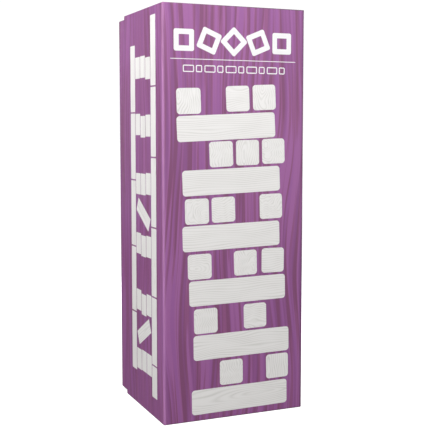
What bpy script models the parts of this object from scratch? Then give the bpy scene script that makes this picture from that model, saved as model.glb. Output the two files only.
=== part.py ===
"""Boxed game of 54 wooden tower blocks: a two-part telescoping carton standing on its short end.

Frame: +Z up, origin at the middle of the footprint, the lid's printed front panel facing -Y.
The carton is a deep lid that slides over a tray along Y. Each half is a greyboard shell with a
printed paper wrap round it. Inside, 18 layers of three blocks lie crosswise on each other, with
a folded leaflet between the blocks and the lid. All lengths are in metres.
"""

import bmesh
import bpy
from mathutils import Vector

# Blocks and their stack
LAYERS = 18
BLOCKS_PER_LAYER = 3
BLOCK_WIDTH = 0.0575
BLOCK_THICKNESS = 0.0272
BLOCK_GAP = 0.0003
BLOCK_CHAMFER = 0.0012

# Carton walls: board, a glue line and the paper over it
BOARD = 0.0015
GLUE_LINE = 0.0003
PAPER = 0.0003
FOLD_RADIUS = 0.003           # outside of the paper, where two panels meet
FOLD_SEGMENTS = 4
RIM_TURN = 0.0013             # board's edge to the mouth, where the paper turns over it

# Clearances
SIDE_CLEARANCE = 0.00375      # stack to tray, on the left and on the right
HEAD_CLEARANCE = 0.0028       # stack to tray, above
MOUTH_CLEARANCE = 0.0011      # stack to the plane of the tray's mouth
LID_SIDE_FIT = 0.0005         # tray to lid, on the left and on the right
LID_TOP_FIT = 0.0015          # tray to lid, above
LID_BOTTOM_FIT = 0.0003       # tray to lid, below
LID_FRONT_FIT = 0.0005        # tray's mouth to the lid's front panel

LID_DEPTH = 0.147             # front panel to rim, outside

# Folded instruction leaflet
LEAFLET_WIDTH = 0.148
LEAFLET_HEIGHT = 0.210
LEAFLET_THICKNESS = 0.0005

# Sizes that follow
WALL = BOARD + GLUE_LINE + PAPER
BLOCK_PITCH = BLOCK_WIDTH + BLOCK_GAP
LAYER_PITCH = BLOCK_THICKNESS + BLOCK_GAP
BLOCK_LENGTH = BLOCKS_PER_LAYER * BLOCK_PITCH - BLOCK_GAP
STACK_HEIGHT = LAYERS * LAYER_PITCH - BLOCK_GAP

TRAY_WIDTH = BLOCK_LENGTH + 2 * (SIDE_CLEARANCE + WALL)
TRAY_HEIGHT = BLOCK_GAP + STACK_HEIGHT + HEAD_CLEARANCE + 2 * WALL
TRAY_DEPTH = WALL + BLOCK_GAP + BLOCK_LENGTH + MOUTH_CLEARANCE
LID_WIDTH = TRAY_WIDTH + 2 * (LID_SIDE_FIT + WALL)
LID_HEIGHT = TRAY_HEIGHT + LID_BOTTOM_FIT + LID_TOP_FIT + 2 * WALL
CARTON_DEPTH = WALL + LID_FRONT_FIT + TRAY_DEPTH

FRONT = -CARTON_DEPTH / 2
BACK = CARTON_DEPTH / 2
TRAY_BOTTOM = WALL + LID_BOTTOM_FIT
STACK_BOTTOM = TRAY_BOTTOM + WALL + BLOCK_GAP
STACK_BACK = BACK - WALL - BLOCK_GAP
STACK_FRONT = STACK_BACK - BLOCK_LENGTH

BLOCK_WOOD = ((0.72, 0.50, 0.29), 0.6)
GREYBOARD = ((0.38, 0.35, 0.31), 0.95)
PRINTED_PAPER = ((0.30, 0.11, 0.27), 0.4)
LEAFLET_PAPER = ((0.85, 0.84, 0.81), 0.8)


def clear_scene():
    for obj in list(bpy.data.objects):
        bpy.data.objects.remove(obj, do_unlink=True)


def make_collection(name):
    collection = bpy.data.collections.new(name)
    bpy.context.scene.collection.children.link(collection)
    return collection


def make_material(name, look):
    color, roughness = look
    material = bpy.data.materials.new(name)
    material.use_nodes = True
    shader = material.node_tree.nodes["Principled BSDF"]
    shader.inputs["Base Color"].default_value = (*color, 1.0)
    shader.inputs["Roughness"].default_value = roughness
    shader.inputs["Metallic"].default_value = 0.0
    material.diffuse_color = (*color, 1.0)
    return material


def make_object(name, mesh, material, location, collection):
    obj = bpy.data.objects.new(name, mesh)
    obj.location = location
    if not mesh.materials:
        mesh.materials.append(material)
    collection.objects.link(obj)
    return obj


def box_mesh(name, size):
    """A box of this size, centred on its own origin."""
    mesh = bpy.data.meshes.new(name)
    shape = bmesh.new()
    bmesh.ops.create_cube(shape, size=1.0)
    bmesh.ops.scale(shape, vec=Vector(size), verts=shape.verts)
    shape.to_mesh(mesh)
    shape.free()
    return mesh


def open_box_mesh(name, size, open_side):
    """The outside of a box with one face missing, the one that faces along open_side."""
    mesh = bpy.data.meshes.new(name)
    shape = bmesh.new()
    bmesh.ops.create_cube(shape, size=1.0)
    lid_faces = [face for face in shape.faces if face.normal.dot(open_side) > 0.5]
    bmesh.ops.delete(shape, geom=lid_faces, context="FACES")
    bmesh.ops.scale(shape, vec=Vector(size), verts=shape.verts)
    shape.to_mesh(mesh)
    shape.free()
    return mesh


def make_shell(name, size, centre, open_side, radius, wall, material, collection):
    """Five panels with rounded folds, grown inwards by wall from a box of the outside size."""
    mesh = open_box_mesh(name, size, open_side)
    shell = make_object(name, mesh, material, centre, collection)
    folds = shell.modifiers.new("rounded folds", "BEVEL")
    folds.width = radius
    folds.segments = FOLD_SEGMENTS
    walls = shell.modifiers.new("walls", "SOLIDIFY")
    walls.thickness = wall
    walls.offset = -1.0
    walls.use_even_offset = True
    return shell


def make_carton_half(name, width, height, near, far, bottom, open_side, materials, collection):
    """A board shell and the paper over its outside, from y = near to y = far, open at one of them."""
    paper, board = materials
    centre = Vector((0.0, (near + far) / 2, bottom + height / 2))
    wrap_size = (width, far - near, height)
    make_shell(f"{name}_wrap", wrap_size, centre, open_side, FOLD_RADIUS, PAPER, paper, collection)

    inset = PAPER + GLUE_LINE
    board_size = (width - 2 * inset, far - near - inset - RIM_TURN, height - 2 * inset)
    board_centre = centre + open_side * ((inset - RIM_TURN) / 2)
    board_radius = FOLD_RADIUS - inset
    make_shell(
        f"{name}_board", board_size, board_centre, open_side, board_radius, BOARD, board, collection,
    )


def make_carton(paper, board, collection):
    make_carton_half(
        "lid", LID_WIDTH, LID_HEIGHT, FRONT, FRONT + LID_DEPTH, 0.0,
        Vector((0, 1, 0)), (paper, board), collection,
    )
    make_carton_half(
        "tray", TRAY_WIDTH, TRAY_HEIGHT, BACK - TRAY_DEPTH, BACK, TRAY_BOTTOM,
        Vector((0, -1, 0)), (paper, board), collection,
    )


def make_block(name, mesh, location, material, collection):
    block = make_object(name, mesh, material, location, collection)
    edges = block.modifiers.new("eased edges", "BEVEL")
    edges.width = BLOCK_CHAMFER
    edges.segments = 1
    return block


def make_stack(wood, collection):
    """Odd layers lie front to back and even layers side to side, three blocks in each."""
    lengthwise = box_mesh("block lengthwise", (BLOCK_WIDTH, BLOCK_LENGTH, BLOCK_THICKNESS))
    crosswise = box_mesh("block crosswise", (BLOCK_LENGTH, BLOCK_WIDTH, BLOCK_THICKNESS))
    stack_middle = (STACK_FRONT + STACK_BACK) / 2
    for layer in range(LAYERS):
        z = STACK_BOTTOM + layer * LAYER_PITCH + BLOCK_THICKNESS / 2
        for place in range(BLOCKS_PER_LAYER):
            aside = (place - 1) * BLOCK_PITCH
            if layer % 2 == 0:
                name = f"block_{layer + 1:02d}_" + ("left", "middle", "right")[place]
                make_block(name, lengthwise, (aside, stack_middle, z), wood, collection)
            else:
                name = f"block_{layer + 1:02d}_" + ("front", "middle", "rear")[place]
                make_block(name, crosswise, (0.0, stack_middle + aside, z), wood, collection)


def make_leaflet(paper, collection):
    """The folded leaflet stands in front of the blocks, midway to the lid's board."""
    lid_board_inside = FRONT + WALL
    size = (LEAFLET_WIDTH, LEAFLET_THICKNESS, LEAFLET_HEIGHT)
    middle = Vector((0.0, (STACK_FRONT + lid_board_inside) / 2, TRAY_BOTTOM + TRAY_HEIGHT / 2))
    make_object("rules_leaflet", box_mesh("leaflet", size), paper, middle, collection)


def main():
    clear_scene()
    collection = make_collection("boxed block tower")
    wood = make_material("block wood", BLOCK_WOOD)
    board = make_material("greyboard", GREYBOARD)
    printed = make_material("printed paper", PRINTED_PAPER)
    leaflet = make_material("leaflet paper", LEAFLET_PAPER)
    make_carton(printed, board, collection)
    make_stack(wood, collection)
    make_leaflet(leaflet, collection)


main()
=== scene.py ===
"""Looks for the boxed game of wooden tower blocks.

The carton's two papers are rebuilt as folded sheets with rounded edges and a turned-in rim, and
carry a printed wood grain with white block shapes on it. The blocks become rounded pine blocks
with rings that run through them, and the leaflet a folded sheet. Lengths named here are in
millimetres; MM turns them into metres.
"""

import math
import random

import bmesh
import bpy
from mathutils import Matrix, Vector


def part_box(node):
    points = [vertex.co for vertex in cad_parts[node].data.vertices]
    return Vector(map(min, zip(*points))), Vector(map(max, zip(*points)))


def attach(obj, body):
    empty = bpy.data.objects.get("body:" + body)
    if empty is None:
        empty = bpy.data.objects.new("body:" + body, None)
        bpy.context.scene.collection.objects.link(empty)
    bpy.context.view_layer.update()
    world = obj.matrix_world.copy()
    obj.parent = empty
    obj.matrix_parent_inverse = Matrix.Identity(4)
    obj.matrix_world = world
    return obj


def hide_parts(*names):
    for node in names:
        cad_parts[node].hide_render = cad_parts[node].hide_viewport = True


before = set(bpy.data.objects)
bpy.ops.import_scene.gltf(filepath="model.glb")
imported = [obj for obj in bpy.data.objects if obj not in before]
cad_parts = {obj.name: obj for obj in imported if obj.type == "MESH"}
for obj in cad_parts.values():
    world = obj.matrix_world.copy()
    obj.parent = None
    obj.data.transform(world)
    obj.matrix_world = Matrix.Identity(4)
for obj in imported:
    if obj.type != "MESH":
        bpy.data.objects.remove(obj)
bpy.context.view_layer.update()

MM = 0.001

# Camera: level with the upper half of the carton and to the left of its front panel, looking
# slightly down
CAMERA_PLACE = Vector((-0.4586, -1.0917, 0.3579))
CAMERA_YAW = math.radians(23.28)
CAMERA_PITCH = math.radians(4.84)
CAMERA_LENS = 75.09
CAMERA_SHIFT = -0.02

# Carton paper, in millimetres: the radii of its folds, its thickness, the board's edge that it turns
# over, the least radius inside the mouth and how far it runs in
UPRIGHT_RADIUS = 3.0
LEVEL_RADIUS = 1.3
FOLD_STEPS = 6
PAPER = 0.15
RIM_RADIUS = 1.13
RIM_STEPS = 6
INNER_RADIUS = 0.35
TURN_IN = 15.0

# Ink lies this far over the paper and reaches this far into it
INK_OVER = 0.035
INK_UNDER = 0.03
CORNER_STEPS = 5


# ---------------------------------------------------------------- meshes

def new_piece(name, shape, material, body):
    """Turns a bmesh into an object that rides on a body. The bmesh is freed."""
    mesh = bpy.data.meshes.new(name)
    shape.normal_update()
    shape.to_mesh(mesh)
    shape.free()
    mesh.materials.append(material)
    piece = bpy.data.objects.new(name, mesh)
    bpy.context.scene.collection.objects.link(piece)
    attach(piece, body)
    return piece


def store_corners(mesh, name, value):
    """Writes value(face, point) to a vector attribute on each face corner."""
    layer = mesh.attributes.new(name, "FLOAT_VECTOR", "CORNER")
    for face in mesh.polygons:
        for corner in face.loop_indices:
            point = mesh.vertices[mesh.loops[corner].vertex_index].co
            layer.data[corner].vector = value(face, point)


def smooth_with_flat_panels(piece):
    piece.data.shade_smooth()
    normals = piece.modifiers.new("flat panels", "WEIGHTED_NORMAL")
    normals.mode = "FACE_AREA"
    normals.weight = 100
    normals.keep_sharp = True


# ---------------------------------------------------------------- shader helpers

class Shader:
    """A material's node tree, with one short method for each kind of node used here."""

    def __init__(self, name):
        self.material = bpy.data.materials.new(name)
        self.material.use_nodes = True
        self.tree = self.material.node_tree
        self.surface = self.tree.nodes["Principled BSDF"]

    def node(self, kind, **settings):
        node = self.tree.nodes.new(kind)
        for key, value in settings.items():
            setattr(node, key, value)
        return node

    def put(self, value, socket):
        if isinstance(value, bpy.types.NodeSocket):
            self.tree.links.new(value, socket)
        else:
            socket.default_value = value

    def attribute(self, name):
        return self.node("ShaderNodeAttribute", attribute_name=name).outputs["Vector"]

    def place(self):
        return self.node("ShaderNodeTexCoord").outputs["Object"]

    def math(self, operation, first, second=0.0, third=0.0):
        node = self.node("ShaderNodeMath", operation=operation)
        for value, socket in zip((first, second, third), node.inputs):
            self.put(value, socket)
        return node.outputs[0]

    def scaled(self, vector, factors):
        node = self.node("ShaderNodeVectorMath", operation="MULTIPLY")
        self.put(vector, node.inputs[0])
        node.inputs[1].default_value = factors
        return node.outputs[0]

    def over(self, *pairs):
        """Each length divided by the size that a noise cell has along it."""
        return [self.math("DIVIDE", length, size) for length, size in pairs]

    def distance(self, x, y):
        squares = self.math("ADD", self.math("MULTIPLY", x, x), self.math("MULTIPLY", y, y))
        return self.math("SQRT", squares)

    def parts(self, vector):
        node = self.node("ShaderNodeSeparateXYZ")
        self.put(vector, node.inputs[0])
        return node.outputs

    def joined(self, x, y, z):
        node = self.node("ShaderNodeCombineXYZ")
        for value, socket in zip((x, y, z), node.inputs):
            self.put(value, socket)
        return node.outputs[0]

    def noise(self, vector, scale=1.0, detail=0.0):
        node = self.node("ShaderNodeTexNoise")
        self.put(vector, node.inputs["Vector"])
        node.inputs["Scale"].default_value = scale
        node.inputs["Detail"].default_value = detail
        return node.outputs[0]

    def ramp(self, value, stops):
        """stops are (position, colour), with a colour or a grey level."""
        node = self.node("ShaderNodeValToRGB")
        self.put(value, node.inputs[0])
        ramp = node.color_ramp
        while len(ramp.elements) < len(stops):
            ramp.elements.new(0.5)
        for element, (position, color) in zip(ramp.elements, stops):
            element.position = position
            element.color = (*color, 1.0) if isinstance(color, tuple) else (color,) * 3 + (1.0,)
        return node.outputs[0]

    def range(self, value, low, high, to_low=0.0, to_high=1.0):
        node = self.node("ShaderNodeMapRange")
        for number, socket in zip((value, low, high, to_low, to_high), node.inputs):
            self.put(number, socket)
        return node.outputs[0]

    def mix(self, factor, first, second):
        node = self.node("ShaderNodeMix", data_type="RGBA")
        self.put(factor, node.inputs["Factor"])
        for value, name in ((first, "A"), (second, "B")):
            socket = next(s for s in node.inputs if s.name == name and s.type == "RGBA")
            self.put((*value, 1.0) if isinstance(value, tuple) else value, socket)
        return next(s for s in node.outputs if s.type == "RGBA")

    def bump(self, height, strength, distance):
        node = self.node("ShaderNodeBump")
        node.inputs["Strength"].default_value = strength
        node.inputs["Distance"].default_value = distance
        self.put(height, node.inputs["Height"])
        self.put(node.outputs[0], self.surface.inputs["Normal"])

    def finish(self, **values):
        names = {"color": "Base Color", "roughness": "Roughness", "specular": "Specular IOR Level"}
        for key, value in values.items():
            value = (*value, 1.0) if isinstance(value, tuple) else value
            self.put(value, self.surface.inputs[names[key]])
        return self.material


def srgb(red, green, blue):
    """A colour from 0-255 screen values to linear light."""
    def linear(level):
        level /= 255
        return level / 12.92 if level <= 0.04045 else ((level + 0.055) / 1.055) ** 2.4
    return tuple(linear(level) for level in (red, green, blue))


# ---------------------------------------------------------------- materials

GRAIN_DARK = srgb(137, 82, 122)
GRAIN_MIDDLE = srgb(151, 91, 137)
GRAIN_LIGHT = srgb(166, 104, 163)
GRAIN_BLUE = srgb(153, 94, 158)
# Colour of the painted highlight on the lid's left upright fold
GRAIN_PAINTED_HIGHLIGHT = srgb(220, 158, 218)
# Colour of the painted shade along the other folds
GRAIN_PAINTED_SHADE = srgb(70, 36, 66)

# The painted highlight and the painted shade near an upright fold show fully up to the first of these
# distances, in millimetres, and not at all beyond the second. The others are how much of the painted
# highlight's or the painted shade's colour shows.
FOLD_BAND = (1.5, 5.5)
HIGHLIGHT_ON_FOLD = (0.18, 0.36)
HIGHLIGHT_BESIDE_FOLD = 0.14
SHADE_BESIDE_FOLD = 0.55
SHADE_ON_LEVEL_FOLD = 0.8


def printed_grain():
    """Purple wood grain: long streaks that drift sideways, under a satin laminate.

    The sheet attribute holds millimetres across and along the flat printed sheet. Its third number is
    positive on folds that get a painted highlight, and negative on folds that get painted shade. The
    folds attribute says how far from the middle the upright folds are, and on which side they get the
    painted highlight.
    """
    s = Shader("printed purple grain")
    across, along, fold = s.parts(s.attribute("sheet"))
    slow = s.noise(s.joined(*s.over((across, 120.0), (along, 230.0)), 0.0))
    quick = s.noise(s.joined(*s.over((across, 22.0), (along, 150.0)), 5.0))
    drift = s.math("MULTIPLY_ADD", slow, 40.0, s.math("MULTIPLY", quick, 7.0))
    bent = s.math("ADD", across, drift)

    def streaks(width, length, layer):
        return s.noise(s.joined(*s.over((bent, width), (along, length)), layer))

    on_sides = s.range(s.math("ABSOLUTE", across), 90.0, 100.0)
    level = 0.5
    for noise, front_share, side_share in (
        (streaks(6.6, 230.0, 1.0), 0.46, 0.2),
        (streaks(2.8, 200.0, 2.0), 0.34, 0.34),
        (streaks(1.15, 160.0, 3.0), 0.2, 0.28),
    ):
        share = s.math("MULTIPLY_ADD", on_sides, side_share - front_share, front_share)
        level = s.math("MULTIPLY_ADD", s.math("SUBTRACT", noise, 0.5), share, level)
    hue = streaks(5.2, 210.0, 4.0)
    color = s.ramp(level, [
        (0.44, GRAIN_DARK), (0.475, GRAIN_MIDDLE), (0.515, GRAIN_MIDDLE), (0.55, GRAIN_LIGHT),
    ])
    color = s.mix(s.range(hue, 0.46, 0.6, 0.0, 0.55), color, GRAIN_BLUE)

    # Bands beside the upright folds: painted highlight on one side, painted shade on the other
    fold_place, highlight_side = s.parts(s.attribute("folds"))[:2]
    from_fold = s.math("ABSOLUTE", s.math("SUBTRACT", s.math("ABSOLUTE", across), fold_place))
    near_fold = s.range(from_fold, *FOLD_BAND, 1.0, 0.0)
    is_highlight_side = s.math("GREATER_THAN", s.math("MULTIPLY", across, highlight_side), 0.0)
    near_highlight = s.math("MULTIPLY", near_fold, is_highlight_side)
    near_shade = s.math("SUBTRACT", near_fold, near_highlight)

    # Painted highlight on the upright fold of one side, made patchy, and a little beside it
    patches = s.noise(s.joined(*s.over((across, 3.0), (along, 22.0)), 7.0), detail=2.0)
    painted_highlight = s.math("MULTIPLY", s.math("MAXIMUM", fold, 0.0), s.range(patches, 0.3, 0.7, *HIGHLIGHT_ON_FOLD))
    painted_highlight = s.math("ADD", painted_highlight, s.math("MULTIPLY", near_highlight, HIGHLIGHT_BESIDE_FOLD))
    color = s.mix(painted_highlight, color, GRAIN_PAINTED_HIGHLIGHT)
    # Painted shade along the level folds and the other upright folds, and a little beside them
    share = s.range(near_fold, 0.0, 1.0, SHADE_ON_LEVEL_FOLD, SHADE_BESIDE_FOLD)
    painted_shade = s.math("MULTIPLY", s.math("MAXIMUM", s.math("MULTIPLY", fold, -1.0), 0.0), share)
    painted_shade = s.math("MAXIMUM", painted_shade, s.math("MULTIPLY", near_shade, SHADE_BESIDE_FOLD))
    color = s.mix(painted_shade, color, GRAIN_PAINTED_SHADE)

    tooth = s.noise(s.place(), scale=900.0, detail=2.0)
    s.bump(tooth, 0.05, 0.0002)
    roughness = s.range(tooth, 0.3, 0.7, 0.3, 0.38)
    return s.finish(color=color, roughness=roughness, specular=0.4)


def white_ink():
    """White print with fine grey grain. The grain attribute holds millimetres from the centre of
    the nested grain lines, already squeezed along the block, and a number for the block."""
    s = Shader("printed white grain")
    across, along, block = s.parts(s.attribute("grain"))

    def uneven(across_rate, along_rate):
        x = s.math("MULTIPLY", across, across_rate)
        y = s.math("MULTIPLY", along, along_rate)
        return s.noise(s.joined(x, y, block))

    line_pitch = 2.7
    from_centre = s.math("DIVIDE", s.distance(across, along), line_pitch)
    rings = s.math("MULTIPLY_ADD", uneven(0.07, 0.2), 3.8, from_centre)
    wave = s.math("PINGPONG", rings, 0.5)
    line = s.range(wave, 0.0, 0.3, 1.0, 0.0)
    line = s.math("MULTIPLY", line, s.range(uneven(0.1, 0.35), 0.3, 0.7, 0.35, 1.0))
    color = s.mix(line, srgb(249, 247, 245), srgb(226, 224, 220))
    return s.finish(color=color, roughness=0.38, specular=0.45)


def plain_white_ink():
    s = Shader("printed white")
    patches = s.noise(s.place(), scale=60.0, detail=2.0)
    color = s.mix(s.range(patches, 0.3, 0.7), srgb(250, 249, 250), srgb(245, 244, 245))
    return s.finish(color=color, roughness=0.36, specular=0.45)


def greyboard():
    """Grey recycled board: cloudy, with fibres and specks."""
    s = Shader("greyboard")
    place = s.place()
    clouds = s.noise(place, scale=45.0, detail=4.0)
    fibres = s.noise(s.scaled(place, (1.0, 1.0, 0.35)), scale=1500.0, detail=2.0)
    specks = s.noise(place, scale=2600.0)
    color = s.mix(s.range(clouds, 0.3, 0.7), srgb(163, 157, 148), srgb(178, 172, 162))
    color = s.mix(s.range(fibres, 0.55, 0.75, 0.0, 0.35), color, srgb(204, 199, 190))
    color = s.mix(s.range(specks, 0.68, 0.74, 0.0, 0.6), color, srgb(96, 90, 84))
    s.bump(fibres, 0.25, 0.0003)
    return s.finish(color=color, roughness=0.92, specular=0.25)


def block_wood():
    """Pale pine. The timber attribute holds millimetres: along the block, then from the pith. The
    cut attribute's first number is 1 on the ends, its second says how deep the block's tone is."""
    s = Shader("pine blocks")
    along, side, up = s.parts(s.attribute("timber"))
    is_end, tone = s.parts(s.attribute("cut"))[:2]
    ring_pitch = 3.4
    bend = s.noise(s.joined(*s.over((along, 160.0), (side, 42.0), (up, 42.0))), detail=1.0)
    rings = s.math("DIVIDE", s.distance(side, up), ring_pitch)
    wave = s.math("FRACT", s.math("ADD", rings, s.math("MULTIPLY", bend, 4.2)))
    late = s.ramp(wave, [(0.0, 0.0), (0.55, 0.16), (0.88, 1.0), (0.95, 0.85), (1.0, 0.0)])
    fibres = s.noise(s.joined(*s.over((along, 26.0), (side, 0.6), (up, 0.6))), detail=2.0)
    clouds = s.noise(s.joined(*s.over((along, 90.0), (side, 18.0), (up, 18.0))))
    color = s.mix(s.range(late, 0.0, 1.0, 0.0, 0.62), srgb(231, 203, 158), srgb(196, 148, 92))
    color = s.mix(s.range(clouds, 0.35, 0.65, 0.0, 0.3), color, srgb(238, 214, 174))
    color = s.mix(s.range(fibres, 0.5, 0.75, 0.0, 0.3), color, srgb(172, 126, 78))
    color = s.mix(s.math("MULTIPLY", is_end, 0.42), color, srgb(182, 134, 84))
    color = s.mix(s.math("MULTIPLY", tone, 0.35), color, srgb(214, 176, 120))
    grain = s.math("MULTIPLY_ADD", late, 0.4, fibres)
    s.bump(grain, 0.35, 0.0003)
    return s.finish(color=color, roughness=s.range(fibres, 0.3, 0.7, 0.5, 0.66), specular=0.35)


def leaflet_paper():
    s = Shader("leaflet paper")
    fibres = s.noise(s.place(), scale=1400.0, detail=3.0)
    clouds = s.noise(s.place(), scale=30.0, detail=2.0)
    color = s.mix(s.range(clouds, 0.3, 0.7), srgb(240, 239, 236), srgb(232, 231, 228))
    s.bump(fibres, 0.12, 0.0002)
    return s.finish(color=color, roughness=0.8, specular=0.3)


def leaflet_ink():
    s = Shader("leaflet ink")
    patches = s.noise(s.place(), scale=700.0, detail=2.0)
    color = s.mix(s.range(patches, 0.35, 0.65), srgb(112, 66, 110), srgb(126, 78, 122))
    return s.finish(color=color, roughness=0.7, specular=0.3)


GRAIN = printed_grain()
WHITE_WOOD = white_ink()
WHITE = plain_white_ink()
BOARD = greyboard()
PINE = block_wood()
LEAFLET = leaflet_paper()
LEAFLET_INK = leaflet_ink()


# ---------------------------------------------------------------- carton papers

def crease(first, second, radius):
    """1 half way round a fold, from the depths under its two panels; 0 where the fold ends."""
    if first >= radius or second >= radius:
        return 0.0
    return max(math.sin(2 * math.atan2(radius - first, radius - second)), 0.0)


def flat_sheet_place(low, high, front, highlight_side):
    """Where a point of the folded paper lies on the flat printed sheet, in millimetres.

    The sheet's middle is the panel across Y; the other four panels hang on its edges. The third
    The third number is up to 1 on the upright folds on the side that gets a painted highlight, -1 or 1
    along X, and down to -1, for painted shade, on the other folds.
    """
    def place(face, point):
        depth = abs(point.y - front)
        side = min(point.x - low.x, high.x - point.x)
        end = min(point.z - low.z, high.z - point.z)
        # Positive where an upright fold gets a painted highlight, negative where upright and level folds
        # get painted shade
        fold = crease(depth, side, UPRIGHT_RADIUS * MM) * (1 if point.x * highlight_side > 0 else -1)
        fold -= max(crease(depth, end, LEVEL_RADIUS * MM), crease(side, end, LEVEL_RADIUS * MM))
        if abs(face.normal.z) > max(abs(face.normal.x), abs(face.normal.y)):
            away = depth if point.z > (low.z + high.z) / 2 else -depth
            return (point.x / MM, (point.z + away) / MM, fold)
        away = depth if point.x > 0 else -depth
        return ((point.x + away) / MM, point.z / MM, fold)
    return place


def inward(point, low, high, step):
    """Where a point of the mouth's outer edge comes to, as [x, z], when the edge moves inwards by
    this step. Its corners tighten but stay round."""
    radius = LEVEL_RADIUS * MM
    tight = max(radius - step, INNER_RADIUS * MM)
    moved = []
    for at, least, most in ((point.x, low.x, high.x), (point.z, low.z, high.z)):
        core = min(max(at, least + radius), most - radius)
        new_core = min(max(at, least + step + tight), most - step - tight)
        moved.append(new_core + (at - core) * tight / radius)
    return moved


def open_box(low, high, front, wall_end):
    """Four walls and a panel at y = front, with rounded folds, open at y = wall_end."""
    shape = bmesh.new()
    bmesh.ops.create_cube(shape, size=1.0)
    middle = Vector(((low.x + high.x) / 2, (front + wall_end) / 2, (low.z + high.z) / 2))
    size = Vector((high.x - low.x, abs(wall_end - front), high.z - low.z))
    bmesh.ops.scale(shape, vec=size, verts=shape.verts)
    bmesh.ops.translate(shape, vec=middle, verts=shape.verts)
    mouth = [face for face in shape.faces if face.normal.y * (wall_end - front) > 0]
    bmesh.ops.delete(shape, geom=mouth, context="FACES")
    weight = shape.edges.layers.float.new("bevel_weight_edge")
    for edge in shape.edges:
        run = edge.verts[0].co - edge.verts[1].co
        is_upright = abs(run.z) > max(abs(run.x), abs(run.y))
        is_fold = not edge.is_boundary
        edge[weight] = is_fold * (1.0 if is_upright else LEVEL_RADIUS / UPRIGHT_RADIUS)

    mesh = bpy.data.meshes.new("open box")
    shape.to_mesh(mesh)
    shape.free()
    box = bpy.data.objects.new("open box", mesh)
    bpy.context.scene.collection.objects.link(box)
    folds = box.modifiers.new("folds", "BEVEL")
    folds.limit_method = "WEIGHT"
    folds.width = UPRIGHT_RADIUS * MM
    folds.segments = FOLD_STEPS
    rounded = box.evaluated_get(bpy.context.evaluated_depsgraph_get()).to_mesh()
    shape = bmesh.new()
    shape.from_mesh(rounded)
    bpy.data.objects.remove(box)
    return shape


def turn_in_rim(shape, low, high, wall_end, open_towards):
    """Carries the paper over the board's edge and down inside the mouth, ring by ring."""
    rim_radius = RIM_RADIUS * MM
    rings = []
    for step in range(1, RIM_STEPS + 1):
        angle = math.pi * step / RIM_STEPS
        rise = rim_radius * math.sin(angle)
        rings.append((rim_radius * (1 - math.cos(angle)), wall_end + open_towards * rise))
    rings.append((2 * rim_radius, wall_end - open_towards * TURN_IN * MM))

    edges = [edge.verts[:] for edge in shape.edges if edge.is_boundary]
    outer = [vert for vert in shape.verts if vert.is_boundary]
    last = {vert: vert for vert in outer}
    for step, y in rings:
        ring = {}
        for vert in outer:
            x, z = inward(vert.co, low, high, step)
            ring[vert] = shape.verts.new((x, y, z))
        for first, second in edges:
            shape.faces.new((last[first], last[second], ring[second], ring[first]))
        last = ring


def folded_paper(name, node, body, open_towards, highlight_side):
    """Paper round one half of the carton: five panels, rounded folds, and a rim that turns in."""
    low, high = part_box(node)
    front, rim = (low.y, high.y) if open_towards > 0 else (high.y, low.y)
    wall_end = rim - open_towards * RIM_RADIUS * MM
    shape = open_box(low, high, front, wall_end)
    turn_in_rim(shape, low, high, wall_end, open_towards)
    bmesh.ops.recalc_face_normals(shape, faces=shape.faces)
    middle = (low + high) / 2
    outward = sum(f.calc_area() * f.normal.dot(f.calc_center_median() - middle) for f in shape.faces)
    if outward < 0:
        bmesh.ops.reverse_faces(shape, faces=shape.faces)

    paper = new_piece(name, shape, GRAIN, body)
    store_corners(paper.data, "sheet", flat_sheet_place(low, high, front, highlight_side))
    store_corners(paper.data, "folds", lambda face, point: (high.x / MM, highlight_side, 0.0))
    thick = paper.modifiers.new("paper", "SOLIDIFY")
    thick.thickness = PAPER * MM
    thick.offset = -1.0
    smooth_with_flat_panels(paper)
    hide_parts(node)


# ---------------------------------------------------------------- printed shapes

class Panel:
    """A flat printed face: mm across and up, to metres in the frame, with its outward normal."""

    def __init__(self, origin, across, outward):
        self.origin, self.across, self.outward = origin, across, outward

    def point(self, x, z, over):
        return self.origin + self.across * (x * MM) + Vector((0, 0, z * MM)) + self.outward * (over * MM)


def rounded_outline(width, height, radius):
    points = []
    for corner in range(4):
        sign_x = 1 if corner in (0, 3) else -1
        sign_z = 1 if corner in (0, 1) else -1
        centre = (sign_x * (width / 2 - radius), sign_z * (height / 2 - radius))
        for step in range(CORNER_STEPS + 1):
            angle = math.pi / 2 * (corner + step / CORNER_STEPS)
            points.append((centre[0] + radius * math.cos(angle), centre[1] + radius * math.sin(angle)))
    return points


def add_plate(shape, panel, place, tilt, outline, hole=()):
    """A thin closed plate of ink, in outline and perhaps with a hole of as many points.

    Returns the vertices made for each point of the outline.
    """
    turn = Matrix.Rotation(math.radians(tilt), 2)

    def ring(points, over):
        turned = [Vector(place) + turn @ Vector(point) for point in points]
        return [shape.verts.new(panel.point(at.x, at.y, over)) for at in turned]

    top, under = ring(outline, INK_OVER), ring(outline, -INK_UNDER)
    hole_top, hole_under = ring(hole, INK_OVER), ring(hole, -INK_UNDER)
    if not hole:
        shape.faces.new(top)
        shape.faces.new(under[::-1])
    for i in range(len(outline)):
        j = (i + 1) % len(outline)
        shape.faces.new((top[j], top[i], under[i], under[j]))
        if hole:
            shape.faces.new((hole_top[i], hole_top[j], hole_under[j], hole_under[i]))
            shape.faces.new((top[i], top[j], hole_top[j], hole_top[i]))
            shape.faces.new((under[j], under[i], hole_under[i], hole_under[j]))
    return list(zip(top, under))


# Printed grain: how far its nested lines are squeezed along a long block and along a square one, and
# how far off their centre may lie, in parts of the block's short and long side
LONG_SQUEEZE = (0.05, 0.1)
SQUARE_SQUEEZE = (0.12, 0.75)
OFF_ACROSS = 0.9
OFF_ALONG = 0.4
LONG_RATIO = 1.25


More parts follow.
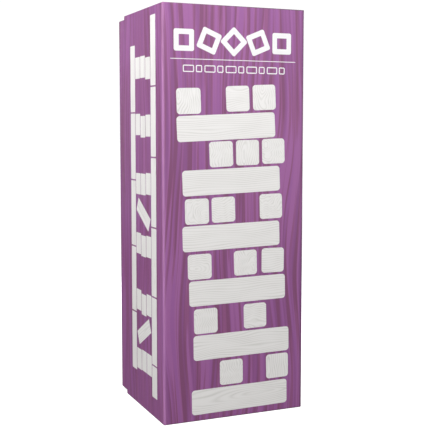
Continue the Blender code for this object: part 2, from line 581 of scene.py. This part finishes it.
def block_grain(width, height, rng):
    """Where the grain lines of one printed block are centred, and how far they are squeezed."""
    long_side, short_side = max(width, height), min(width, height)
    is_long = long_side > LONG_RATIO * short_side
    lengthwise = width > height if is_long else rng.random() < 0.5
    squeeze = rng.uniform(*(LONG_SQUEEZE if is_long else SQUARE_SQUEEZE))
    off_centre = rng.uniform(-OFF_ACROSS, OFF_ACROSS) * short_side
    off_along = rng.uniform(-OFF_ALONG, OFF_ALONG) * long_side
    seed = rng.uniform(0.0, 200.0)

    def grain(x, z):
        across, along = (z, x) if lengthwise else (x, z)
        return (across - off_centre, (along - off_along) * squeeze, seed)
    return grain


def print_blocks(name, panel, blocks, material, body, seed):
    """Printed blocks as plates of ink. A block is (x, z, width, height, corner radius, tilt)."""
    rng = random.Random(seed)
    shape = bmesh.new()
    layer = shape.loops.layers.float_vector.new("grain")
    grain_at = {}
    for x, z, width, height, radius, tilt in blocks:
        grain = block_grain(width, height, rng)
        outline = rounded_outline(width, height, radius)
        for pair, point in zip(add_plate(shape, panel, (x, z), tilt, outline), outline):
            grain_at.update((vert, grain(*point)) for vert in pair)
    for face in shape.faces:
        for loop in face.loops:
            loop[layer] = grain_at[loop.vert]
    bmesh.ops.recalc_face_normals(shape, faces=shape.faces)
    new_piece(name, shape, material, body)


def print_frames(name, panel, frames, stroke, material, body):
    """Printed outlines, given as blocks are, with a line of this stroke."""
    least_radius = 0.4
    shape = bmesh.new()
    for x, z, width, height, radius, tilt in frames:
        outline = rounded_outline(width, height, radius)
        hole_radius = max(radius - stroke, least_radius)
        hole = rounded_outline(width - 2 * stroke, height - 2 * stroke, hole_radius)
        add_plate(shape, panel, (x, z), tilt, outline, hole)
    bmesh.ops.recalc_face_normals(shape, faces=shape.faces)
    new_piece(name, shape, material, body)


# The printed tower, bottom course first. A long block has its left edge and its middle height; the
# squares that stand on it have their left edges. All are millimetres from the panel's middle.
LONG_COURSES = (
    (-58.3, 24.1), (-56, 92.2), (-61.6, 160.1), (-70, 228), (-70, 296.2), (-77, 362.2),
)
SQUARE_COURSES = (
    (-21, 43), (-55.5, 11.5), (-63.5, -2, 36), (-67, -32, 33), (-35, 0.5, 36), (-77.5, -13, 23),
)
SQUARES_SHIFT = 0.2
LONG_WIDTH = 131.0
LONG_HEIGHT = 31.0
SQUARE = 31.3
SQUARE_HEIGHT = 31.0
SQUARES_OVER_LONG = 33.6
CORNER = 4.0

# Degrees of lean: at the foot, gained on the way up to a height in millimetres, and what a row of
# squares has more than the long block under it. Each square is turned by a little of its own.
FOOT_LEAN = 0.6
LEAN_GAIN = 2.5
LEAN_HEIGHT = 400
LEAN_POWER = 2.2
SQUARES_EXTRA_LEAN = 0.6
SQUARE_TURNS = (-1.2, 0.6)


def lean(height):
    """How far a course turns at this height, in degrees."""
    return FOOT_LEAN + LEAN_GAIN * (height / LEAN_HEIGHT) ** LEAN_POWER


def tower_print():
    """Twelve courses, long block and squares in turn, that lean more and more towards the top."""
    rng = random.Random(5)
    blocks = []
    for (left, z), squares in zip(LONG_COURSES, SQUARE_COURSES):
        middle = left + LONG_WIDTH / 2
        blocks.append((middle, z, LONG_WIDTH, LONG_HEIGHT, CORNER, lean(z)))
        for edge in squares:
            x = edge + SQUARE / 2 + SQUARES_SHIFT
            row_lean = math.radians(lean(z) + SQUARES_EXTRA_LEAN)
            rise = SQUARES_OVER_LONG + (x - middle) * math.tan(row_lean)
            tilt = lean(z) + rng.uniform(*SQUARE_TURNS)
            blocks.append((x, z + rise, SQUARE, SQUARE_HEIGHT, CORNER, tilt))
    return blocks


# The rule and the ornaments over and under it, in the same millimetres. Five of each; a small one
# is a long frame and a square one, given as (offset, width).
RULE = (-1.5, 442.8, 166.8, 0.85, 0.4, 0.0)
FRAME_COUNT = 5
TITLE_MIDDLE = (-2.4, 465.0)
TITLE_FRAME = 26.0
TITLE_CORNER = 2.5
TITLE_STROKE = 6.4
TITLE_PITCH = 32.6
TITLE_TURN = 22.5
SMALL_MIDDLE = (-1.2, 431.6)
SMALL_PAIR = ((-5.0, 14.4), (8.6, 8.0))
SMALL_HEIGHT = 8.6
SMALL_CORNER = 1.6
SMALL_STROKE = 1.25
SMALL_PITCH = 27.8


def title_frames():
    """Five square frames that roll over a quarter turn from left to right, in place of a title."""
    frames = []
    for i in range(FRAME_COUNT):
        x = TITLE_MIDDLE[0] + TITLE_PITCH * (i - FRAME_COUNT // 2)
        frames.append((x, TITLE_MIDDLE[1], TITLE_FRAME, TITLE_FRAME, TITLE_CORNER, -TITLE_TURN * i))
    return frames


def small_frames():
    """A row of small outlined blocks, long and square in turn, in place of a second title."""
    frames = []
    for i in range(FRAME_COUNT):
        x = SMALL_MIDDLE[0] + SMALL_PITCH * (i - FRAME_COUNT // 2)
        for offset, width in SMALL_PAIR:
            frames.append((x + offset, SMALL_MIDDLE[1], width, SMALL_HEIGHT, SMALL_CORNER, 0.0))
    return frames


# Side panels: a ladder of blocks. Two rails of upright bars run the height of the panel, rows of
# short bars bridge them, and planks, given as (height, tilt), have fallen across two of the gaps.
# The columns are counted from the front fold.
COLUMN_START = 23.9
COLUMN_PITCH = 19.6
BAR_WIDTH = 18.3
BAR_LENGTH = 84.6
BAR_GAP = 1.8
BAR_CORNER = 1.0
NEAR_RAIL_TOP = 497.0
NEAR_RAIL_BARS = (1, 1, 1, 1, 1, 0.47)
FAR_RAIL_TOP = 466.0
FAR_RAIL_BARS = (1, 1, 1, 1, 0.9)
RUNG_HEIGHTS = (436, 364, 290, 214, 138, 64)
RUNG_LENGTH = 27.0
RUNG_WANDER = 2.6
PLANK = 52.0
PLANKS = ((252, 28), (101, -28))


def column_middle(column):
    return COLUMN_START + COLUMN_PITCH * column + BAR_WIDTH / 2


def rail(column, top, shares):
    """Upright bars end to end, downwards. A share is a bar's part of the whole length."""
    bars = []
    x = column_middle(column)
    for share in shares:
        length = BAR_LENGTH * share
        bars.append((x, top - length / 2, BAR_WIDTH, length, BAR_CORNER, 0.0))
        top -= length + BAR_GAP
    return bars


def side_bars():
    rng = random.Random(21)
    bars = rail(0, NEAR_RAIL_TOP, NEAR_RAIL_BARS) + rail(4, FAR_RAIL_TOP, FAR_RAIL_BARS)
    for height in RUNG_HEIGHTS:
        for column in (1, 2, 3):
            z = height + rng.uniform(-RUNG_WANDER, RUNG_WANDER)
            bars.append((column_middle(column), z, BAR_WIDTH, RUNG_LENGTH, BAR_CORNER, 0.0))
    for height, tilt in PLANKS:
        bars.append((column_middle(2), height, PLANK, BAR_WIDTH, BAR_CORNER, tilt))
    return bars


def make_carton_print(lid_low, lid_high):
    front = Panel(Vector((0, lid_low.y, 0)), Vector((1, 0, 0)), Vector((0, -1, 0)))
    print_blocks("lid_front_blocks", front, tower_print(), WHITE_WOOD, "lid", 11)
    print_blocks("lid_front_rule", front, [RULE], WHITE, "lid", 12)
    print_frames("lid_front_frames", front, title_frames(), TITLE_STROKE, WHITE, "lid")
    print_frames("lid_front_small_frames", front, small_frames(), SMALL_STROKE, WHITE, "lid")
    for name, x, seed in (("left", lid_low.x, 13), ("right", lid_high.x, 14)):
        side = Panel(Vector((x, lid_low.y, 0)), Vector((0, 1, 0)), Vector((math.copysign(1, x), 0, 0)))
        print_blocks(f"lid_{name}_bars", side, side_bars(), WHITE_WOOD, "lid", seed)


# ---------------------------------------------------------------- blocks

BLOCK_RADIUS = 1.9
RADIUS_SPREAD = (0.85, 1.15)
BLOCK_STEPS = 3

# How far a block's middle lies from the pith, to the side and up or down, and how far apart along
# the log two blocks are cut, in millimetres
PITH_SIDE = 45.0
PITH_UP = (18.0, 60.0)
CUT_PITCH = 350.0


def wooden_block(node, number):
    """A block with rounded edges, cut from its own place in a log."""
    rng = random.Random(900 + number)
    low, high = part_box(node)
    size = high - low
    middle = (low + high) / 2
    shape = bmesh.new()
    bmesh.ops.create_cube(shape, size=1.0)
    bmesh.ops.scale(shape, vec=size, verts=shape.verts)
    bmesh.ops.bevel(
        shape, geom=shape.edges[:], offset=BLOCK_RADIUS * MM * rng.uniform(*RADIUS_SPREAD),
        segments=BLOCK_STEPS, profile=0.5, affect="EDGES",
    )
    bmesh.ops.translate(shape, vec=middle, verts=shape.verts)
    block = new_piece(f"{node}_pine", shape, PINE, node)

    lies_across = size.x > size.y
    pith_side = rng.uniform(-PITH_SIDE, PITH_SIDE)
    pith_up = rng.choice((-1, 1)) * rng.uniform(*PITH_UP)
    start = number * CUT_PITCH
    tone = rng.random()

    def timber(face, point):
        local = (point - middle) / MM
        along, side = (local.x, local.y) if lies_across else (local.y, local.x)
        return (along + start, side - pith_side, local.z - pith_up)

    def cut(face, point):
        end = abs(face.normal.x if lies_across else face.normal.y)
        return (1.0 if end > 0.7 else 0.0, tone, 0.0)

    store_corners(block.data, "timber", timber)
    store_corners(block.data, "cut", cut)
    smooth_with_flat_panels(block)
    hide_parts(node)


def make_blocks():
    nodes = sorted(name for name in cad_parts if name.startswith("block_"))
    for number, node in enumerate(nodes):
        wooden_block(node, number)


# ---------------------------------------------------------------- leaflet

# One leaf's thickness, and how much shorter the front leaf is, in millimetres
LEAF = 0.11
SHORTER_LEAF = 0.6
LEAF_FOLD_STEPS = 6

# The cover's picture, in millimetres from the middle of the cover: nine courses, long block and
# three squares in turn, and a bar over and under them
MARK_CORNER = 1.0
MARK_HEIGHT = 8.0
MARK_PITCH = 9.4
MARK_WIDTH = 15.4
MARK_PLACES = (-17.5, 0.0, 17.5)
LONG_MARK_WIDTH = 50.4
LOWEST_MARK = -42
COURSES = 9
LOOSE_COURSE = 5
COVER_BARS = (62, -66)
COVER_BAR_SIZE = (96.0, 3.2)


def make_leaflet():
    """A sheet folded once, its fold at the left, with a small picture of a tower on the cover."""
    low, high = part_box("rules_leaflet")
    leaf = LEAF * MM
    fold = (high.y - low.y - leaf) / 2
    middle_y = (low.y + high.y) / 2
    profile = [(high.x, middle_y + fold), (low.x + fold, middle_y + fold)]
    for step in range(1, LEAF_FOLD_STEPS):
        angle = math.pi / 2 + math.pi * step / LEAF_FOLD_STEPS
        profile.append((low.x + fold + fold * math.cos(angle), middle_y + fold * math.sin(angle)))
    front_end = high.x - SHORTER_LEAF * MM
    profile += [(low.x + fold, middle_y - fold), (front_end, middle_y - fold)]
    shape = bmesh.new()
    bottom = [shape.verts.new((x, y, low.z)) for x, y in profile]
    top = [shape.verts.new((x, y, high.z)) for x, y in profile]
    for i in range(len(profile) - 1):
        shape.faces.new((bottom[i], bottom[i + 1], top[i + 1], top[i]))
    leaflet = new_piece("rules_leaflet_sheet", shape, LEAFLET, "leaflet")
    thick = leaflet.modifiers.new("paper", "SOLIDIFY")
    thick.thickness = leaf
    thick.offset = 0.0
    leaflet.data.shade_smooth()
    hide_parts("rules_leaflet")

    cover = Panel(Vector((0, middle_y - fold - leaf / 2, 0)), Vector((1, 0, 0)), Vector((0, -1, 0)))
    centre = (low.z + high.z) / 2 / MM
    marks = []
    for course in range(COURSES):
        z = centre + LOWEST_MARK + course * MARK_PITCH
        if course % 2:
            places = MARK_PLACES[:-1] if course == LOOSE_COURSE else MARK_PLACES
            marks += [(x, z, MARK_WIDTH, MARK_HEIGHT, MARK_CORNER, 0.0) for x in places]
        else:
            marks.append((0.0, z, LONG_MARK_WIDTH, MARK_HEIGHT, MARK_CORNER, 0.0))
    for height in COVER_BARS:
        marks.append((0.0, centre + height, *COVER_BAR_SIZE, MARK_CORNER, 0.0))
    print_blocks("rules_leaflet_picture", cover, marks, LEAFLET_INK, "leaflet", 15)


# ---------------------------------------------------------------- studio

FLOOR_SIZE = 60.0
FLOOR_GLOW = 0.7


def make_floor():
    """A pale floor that gives off a little light, and lights nothing else."""
    bpy.ops.mesh.primitive_plane_add(size=FLOOR_SIZE, location=(0, 0, 0))
    floor = bpy.context.object
    floor.name = "studio_floor"
    s = Shader("studio light table")
    tone = s.noise(s.place(), scale=0.7, detail=1.0)
    color = s.mix(s.range(tone, 0.3, 0.7), (0.7, 0.7, 0.7), (0.72, 0.72, 0.72))
    s.surface.inputs["Emission Color"].default_value = (1.0, 1.0, 1.0, 1.0)
    s.surface.inputs["Emission Strength"].default_value = FLOOR_GLOW
    floor.data.materials.append(s.finish(color=color, roughness=0.9, specular=0.1))
    floor.visible_diffuse = False
    floor.visible_glossy = False


# name, azimuth in degrees, distance and height, (width, height), radiance, height aimed at
SOFTBOXES = (
    ("front softbox", 6, 0.6, 1.0, (0.9, 0.35), 4.8, 0.45),
    ("left softbox", -88, 0.6, 1.0, (0.9, 0.35), 6.2, 0.45),
    ("strip softbox", -55, 1.1, 0.4, (0.12, 0.8), 5.0, 0.4),
    ("right softbox", 108, 1.0, 0.42, (0.6, 0.6), 2.0, 0.3),
    ("back softbox", 172, 1.0, 0.42, (0.7, 0.6), 2.2, 0.3),
)


def make_softbox(name, azimuth, distance, height, size, radiance, aim_height):
    """An area light; azimuth 0 is in front of the lid's panel and positive is to the right."""
    light = bpy.data.lights.new(name, "AREA")
    light.shape = "RECTANGLE"
    light.size, light.size_y = size
    light.energy = radiance * math.pi * size[0] * size[1]
    lamp = bpy.data.objects.new(name, light)
    angle = math.radians(azimuth)
    lamp.location = (distance * math.sin(angle), -distance * math.cos(angle), height)
    aim = Vector((0, 0, aim_height)) - lamp.location
    lamp.rotation_mode = "QUATERNION"
    lamp.rotation_quaternion = aim.to_track_quat("-Z", "Y")
    lamp.visible_camera = False
    bpy.context.scene.collection.objects.link(lamp)


# The black card, in metres and degrees
FLAG_PLACE = (-0.62, 1.25, 0.55)
FLAG_SIZE = (1.5, 1.2, 1.0)
FLAG_YAW = 22


def make_flag():
    """A black card behind and to the left, which keeps white haze off the lid's left panel."""
    bpy.ops.mesh.primitive_plane_add(size=1.0, location=FLAG_PLACE)
    flag = bpy.context.object
    flag.name = "studio_flag"
    flag.scale = FLAG_SIZE
    flag.rotation_euler = (math.radians(90), 0, math.radians(FLAG_YAW))
    s = Shader("studio flag")
    black = s.range(s.noise(s.place(), scale=300.0), 0.3, 0.7, 0.01, 0.02)
    flag.data.materials.append(s.finish(color=black, roughness=1.0, specular=0.0))
    flag.visible_camera = False
    flag.visible_diffuse = False
    flag.visible_shadow = False


# Heights on the sky, 0 straight down and 1 straight up, and how bright it is there
WORLD_STOPS = ((0.44, 0.05), (0.49, 1.04), (0.66, 1.04), (0.8, 0.45), (1.0, 0.2))


def make_world():
    """White round the horizon, grey overhead and dark below."""
    world = bpy.data.worlds.new("studio")
    world.use_nodes = True
    tree = world.node_tree
    place = tree.nodes.new("ShaderNodeTexCoord")
    split = tree.nodes.new("ShaderNodeSeparateXYZ")
    ramp = tree.nodes.new("ShaderNodeValToRGB")
    shift = tree.nodes.new("ShaderNodeMath")
    shift.operation = "MULTIPLY_ADD"
    shift.inputs[1].default_value = 0.5
    shift.inputs[2].default_value = 0.5
    tree.links.new(place.outputs["Generated"], split.inputs[0])
    tree.links.new(split.outputs["Z"], shift.inputs[0])
    tree.links.new(shift.outputs[0], ramp.inputs[0])
    stops = ramp.color_ramp.elements
    while len(stops) < len(WORLD_STOPS):
        stops.new(0.5)
    for stop, (position, level) in zip(stops, WORLD_STOPS):
        stop.position = position
        stop.color = (level, level, level, 1.0)
    background = tree.nodes["Background"]
    tree.links.new(ramp.outputs[0], background.inputs["Color"])
    background.inputs["Strength"].default_value = 1.0
    bpy.context.scene.world = world


def make_camera():
    camera = bpy.data.objects.new("camera", bpy.data.cameras.new("camera"))
    camera.data.lens = CAMERA_LENS
    camera.data.sensor_width = 36.0
    camera.data.shift_y = CAMERA_SHIFT
    camera.location = CAMERA_PLACE
    camera.rotation_euler = (math.pi / 2 - CAMERA_PITCH, 0.0, -CAMERA_YAW)
    bpy.context.scene.collection.objects.link(camera)
    bpy.context.scene.camera = camera


# ---------------------------------------------------------------- the scene

make_camera()
make_world()
make_floor()
make_flag()
for softbox in SOFTBOXES:
    make_softbox(*softbox)

for board in ("lid_board", "tray_board"):
    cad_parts[board].data.materials.clear()
    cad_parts[board].data.materials.append(BOARD)

# The lid's left upright fold gets a painted highlight; every other fold of both papers gets painted
# shade
folded_paper("lid_paper", "lid_wrap", "lid", 1, -1)
folded_paper("tray_paper", "tray_wrap", "tray", -1, 0)
make_carton_print(*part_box("lid_wrap"))
make_blocks()
make_leaflet()

bpy.context.scene.view_settings.view_transform = "Standard"
